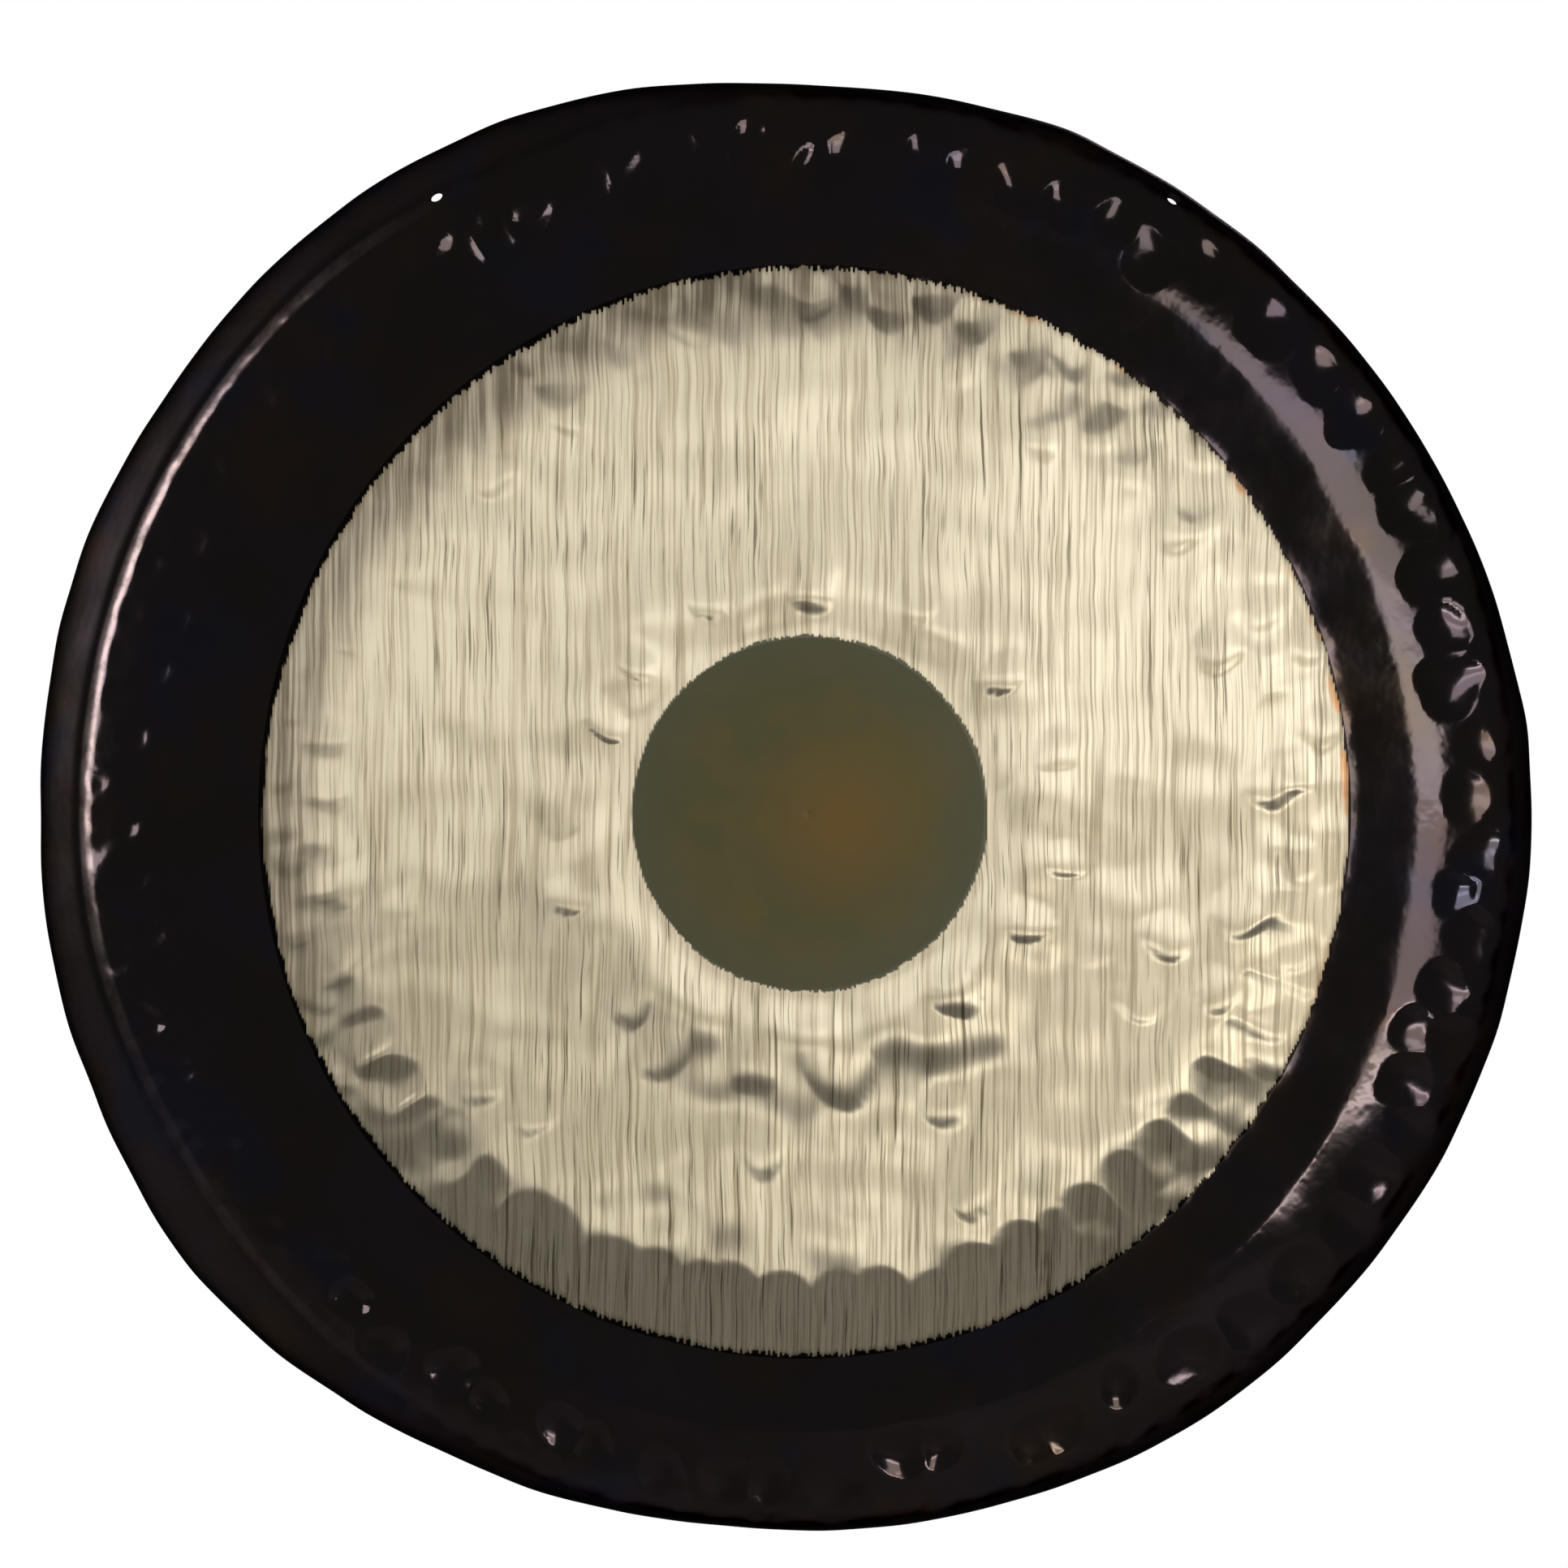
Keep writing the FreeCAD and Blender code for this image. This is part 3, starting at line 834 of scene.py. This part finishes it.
# oxide between the strokes and painted shade, up on the left near the ring's border
BITTEN_AND_SHADE = (0.17, 0.145, 0.10)
HEAT = (0.62, 0.30, 0.13)
RING_R, DISC_EDGE_R = 0.3472, 0.1136

scraped = Finish("scraped_nickel_silver")
scraped.surface.inputs["Anisotropic"].default_value = 1.0
across = scraped.add("ShaderNodeTangent", {"direction_type": "UV_MAP", "uv_map": "strokes"})
scraped.plug(scraped.surface.inputs["Tangent"], across.outputs[0])
x, z, out = scraped.from_punch()


def ragged_edge(finish, x, z, radius, column, jitter, sway, softness=0.0006):
    """1 inside a circle whose edge is cut by strokes, 0 outside.

    x is rounded down to its column, z is moved by the column's random offset, and their distance
    from the punch mark is compared with the radius."""
    number = finish.sum("FLOOR", finish.sum("DIVIDE", x, column))
    random_value = finish.add("ShaderNodeTexWhiteNoise", {"noise_dimensions": "1D"}, W=number)
    slow = finish.noise(finish.stretched((40, 40, 40), (6, 1, 3)), detail=3)
    offset = finish.times(finish.sum("SUBTRACT", random_value.outputs["Value"], 0.5), jitter * 2)
    wander = finish.times(finish.sum("SUBTRACT", slow, 0.5), sway)
    cut = finish.distance(finish.times(number, column), finish.sum("ADD", z, offset))
    distance = finish.sum("ADD", cut, wander)
    return finish.ramp(distance, radius + softness, radius - softness), distance


inside_ring, ring_distance = ragged_edge(scraped, x, z, RING_R, 0.0015, 0.0021, 0.005)
inside_disc, disc_distance = ragged_edge(scraped, x, z, DISC_EDGE_R, 0.0015, 0.0010, 0.003)

sway = scraped.noise(scraped.stretched((9, 9, 16), (1, 1, 1)), detail=2)
sway_x = scraped.sum("ADD", x, scraped.times(sway, 0.006))
stroke_place = scraped.add("ShaderNodeCombineXYZ", X=sway_x, Y=0.0, Z=z).outputs[0]


def strokes(finish, cells_x, cells_z, shift, detail=2.0):
    """Noise squeezed thin across and stretched long down the strokes."""
    node = finish.add("ShaderNodeMapping", Vector=stroke_place)
    node.inputs["Scale"].default_value = (cells_x, 1, cells_z)
    node.inputs["Location"].default_value = (shift, 0, shift * 1.7)
    return finish.noise(node.outputs[0], detail=detail, roughness=0.55)


fine = strokes(scraped, 480, 8, 0.3)
coarse = strokes(scraped, 150, 5, 4.1)
gouge = strokes(scraped, 360, 8, 8.7, 3.0)
patch = scraped.noise(scraped.stretched((11, 11, 11), (5, 5, 5)), detail=3)

tone = scraped.mix(scraped.ramp(coarse, 0.52, 0.30, 0, 0.45), SILVER, SILVER_DEEP)
tone = scraped.mix(scraped.ramp(fine, 0.54, 0.34, 0, 0.9), tone, SILVER_DEEP)
scratch = strokes(scraped, 560, 15, 2.9, 2.0)
dark_lines = scraped.sum("MAXIMUM", scraped.ramp(gouge, 0.42, 0.33, 0, 0.9),
                         scraped.ramp(scratch, 0.40, 0.31, 0, 0.75))
dark_lines = scraped.times(dark_lines, scraped.ramp(patch, 0.34, 0.60, 0.4, 1.0))
tone = scraped.mix(dark_lines, tone, GROOVE)
heat_side = scraped.ramp(scraped.sum("ADD", x, scraped.times(z, 0.5)), 0.24, 0.36)
heat_spots = scraped.noise(scraped.stretched((26, 26, 26), (8, 3, 2)), detail=2)
heat = scraped.times(heat_side, scraped.ramp(heat_spots, 0.50, 0.62),
                     scraped.ramp(ring_distance, RING_R - 0.006, RING_R - 0.001))
tone = scraped.mix(heat, tone, HEAT)
edge_shade = scraped.ramp(ring_distance, RING_R - 0.004, RING_R, 0, 0.45)
tone = scraped.mix(edge_shade, tone, GROOVE)
# up on the left near the border the strokes are painted darker: partly oxide left between the strokes
# where the scraper bit less, partly painted shade
near_border = scraped.ramp(scraped.sum("ADD", ring_distance, scraped.times(patch, 0.03)),
                           RING_R - 0.036, RING_R + 0.004)
up_left = scraped.times(scraped.ramp(x, 0.19, 0.02), scraped.ramp(z, -0.22, -0.02))
left_oxide_and_shade = scraped.times(near_border, up_left,
                           scraped.ramp(scraped.sum("ADD", coarse, fine), 1.22, 0.82, 0.48, 1.0))
tone = scraped.mix(left_oxide_and_shade, tone, BITTEN_AND_SHADE)
# outside the ragged edge: the black oxide, darkened further as painted shade
tone = scraped.mix(inside_ring, OXIDE_WITH_PAINTED_SHADE, tone)
tone = scraped.mix(inside_disc, tone, olive_colour(scraped))
scraped.plug(scraped.surface.inputs["Base Color"], tone)
scraped.plug(scraped.surface.inputs["Metallic"], scraped.ramp(inside_disc, 0, 1, 1.0, OLIVE_METAL))
bare = scraped.times(inside_ring, scraped.sum("SUBTRACT", 1.0, inside_disc))
rough = scraped.ramp(fine, 0.3, 0.7, 0.40, 0.34)
oxide_rough = scraped.times(scraped.sum("SUBTRACT", 1.0, inside_ring), 0.20)
scraped.plug(scraped.surface.inputs["Roughness"], scraped.sum("SUBTRACT", rough, oxide_rough))
relief = scraped.bump(coarse, 0.00022, 0.5, scraped.bump(fine, 0.00010, 0.6))
scraped.plug(scraped.surface.inputs["Normal"], scraped.bump(bare, 0.0001, 0.5, relief))

# %% Give the gong its finishes
for finish in (black, scraped, olive, raw):
    gong.data.materials.append(finish.material)
print("finishes:", [m.name for m in gong.data.materials])

# %% Tie the gong to the frame
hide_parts("gong_disc")
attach(gong, "root")


# %% [markdown]
# ## The studio
#
# A gong is a mirror, so the lights are placed by what each part of it should reflect. In front it is
# dim, which keeps the flat black band black. One large soft box stands to the right, where the right
# shoulder sees it, and another high on the left, where only the ridge of the fold does. The scraped
# ring gathers both sideways. A third box lights the hollow back. The floor lies well below, as the gong
# hangs, and the wall is white.

# %% Floor, wall and lights
def flat_sheet(name, corners):
    """One four-cornered sheet."""
    mesh = bpy.data.meshes.new(name)
    mesh.from_pydata(corners, [], [(0, 1, 2, 3)])
    sheet = bpy.data.objects.new(name, mesh)
    bpy.context.scene.collection.objects.link(sheet)
    return sheet


FLOOR_Z, FLOOR_HALF, FLOOR_GLOW = cad_box[0][2] - 0.60, 2.6, 0.72
FLOOR_DARK, FLOOR_PALE = (0.26, 0.255, 0.25), (0.31, 0.305, 0.30)
floor = flat_sheet("studio_floor", [(side_x * FLOOR_HALF, side_y * FLOOR_HALF, FLOOR_Z)
                                    for side_x, side_y in ((-1, -1), (1, -1), (1, 1), (-1, 1))])
paper = Finish("pale_floor")
paper.surface.inputs["Roughness"].default_value = 0.8
paper_tone = paper.noise(paper.stretched((3, 3, 3)), detail=3)
paper.plug(paper.surface.inputs["Base Color"], paper.mix(paper_tone, FLOOR_DARK, FLOOR_PALE))
seen_by_camera = paper.add("ShaderNodeLightPath").outputs["Is Camera Ray"]
paper.surface.inputs["Emission Color"].default_value = (1.0, 1.0, 0.99, 1.0)
paper.plug(paper.surface.inputs["Emission Strength"], paper.times(seen_by_camera, FLOOR_GLOW))
split = paper.add("ShaderNodeSeparateXYZ", Vector=paper.place)
from_middle = paper.distance(split.outputs[0], split.outputs[1])
paper.plug(paper.surface.inputs["Alpha"], paper.ramp(from_middle, FLOOR_HALF, FLOOR_HALF * 0.55))
floor.data.materials.append(paper.material)


def soft_box(name, place, aim, width, height, radiance, tint):
    """A rectangular lamp at place, facing aim, with the same brightness all over its face.

    Its power in watts is the brightness times the area times pi. The camera doesn't see it."""
    lamp = bpy.data.lights.new(name, "AREA")
    lamp.shape, lamp.size, lamp.size_y = "RECTANGLE", width, height
    lamp.energy = radiance * width * height * math.pi
    lamp.color = tint
    box = bpy.data.objects.new(name, lamp)
    box.matrix_world = (Matrix.Translation(Vector(place))
                        @ (Vector(place) - Vector(aim)).to_track_quat("Z", "Y").to_matrix().to_4x4())
    box.visible_camera = False
    bpy.context.scene.collection.objects.link(box)
    return box


# the right box is a stack of four, so that low bumps on the ring show: for each its lower and upper
# height, its brightness and its tint
RIGHT_X, RIGHT_Y, RIGHT_WIDTH = 1.416, -2.393, 0.92
RIGHT_STACK = {"strip": (-0.75, -0.61, 15.0, (1.0, 0.965, 0.93)),
               "low": (-0.61, -0.06, 3.45, (1.0, 0.93, 0.84)),
               "middle": (-0.06, 0.34, 6.7, (1.0, 0.985, 0.99)),
               "high": (0.34, 1.15, 4.2, (1.0, 0.97, 0.955))}
for name, (low, high, radiance, tint) in RIGHT_STACK.items():
    height = (low + high) / 2
    soft_box("right_" + name, (RIGHT_X, RIGHT_Y, height), (0.4, 0.0, height),
             RIGHT_WIDTH, high - low, radiance, tint)
soft_box("left_box", (-2.326, -0.998, 0.66), (-0.45, 0.0, 0.3), 0.90, 1.84, 6.8, (1.0, 0.95, 0.95))
soft_box("back_box", (1.5, 2.4, 1.9), (0.0, 0.0, 0.0), 1.8, 1.6, 9.0, (1.0, 0.98, 0.96))

WALL_SEEN, WALL_LIGHT = 1.0, 0.16   # the wall is white to the camera and lights the gong dimly
world = bpy.data.worlds.new("studio")
bpy.context.scene.world = world
world.use_nodes = True
nodes, links = world.node_tree.nodes, world.node_tree.links
nodes["Background"].inputs["Color"].default_value = (1.0, 1.0, 1.0, 1.0)
seen = nodes.new("ShaderNodeLightPath")
level = nodes.new("ShaderNodeMapRange")
level.inputs["To Min"].default_value = WALL_LIGHT
level.inputs["To Max"].default_value = WALL_SEEN
links.new(seen.outputs["Is Camera Ray"], level.inputs["Value"])
links.new(level.outputs[0], nodes["Background"].inputs["Strength"])

# %% [markdown]
# ## The camera
#
# A long lens from straight in front, a little to the left and above the middle, keeps the circles
# round. The view transform is the plain one, so white paper stays white.

# %% Camera
VIEW_DISTANCE, FRAME_WIDTH = 3.4, 0.998
SIDE, UP = math.radians(-3.5), math.radians(1.5)
AIM_X, AIM_Z = -0.0160, 0.0190   # the rim isn't centred on the punch mark
aim = Vector(PUNCH) + Vector((AIM_X, 0.0, AIM_Z))
away = Vector((math.sin(SIDE) * math.cos(UP), -math.cos(SIDE) * math.cos(UP), math.sin(UP)))
lens = bpy.data.cameras.new("camera")
lens.sensor_width = 36.0
lens.lens = 36.0 * VIEW_DISTANCE / FRAME_WIDTH
camera = bpy.data.objects.new("camera", lens)
camera.matrix_world = (Matrix.Translation(aim + away * VIEW_DISTANCE)
                       @ away.to_track_quat("Z", "Y").to_matrix().to_4x4())
bpy.context.scene.collection.objects.link(camera)
bpy.context.scene.camera = camera
bpy.context.scene.view_settings.view_transform = "Standard"
print("lens in mm:", round(lens.lens, 1))
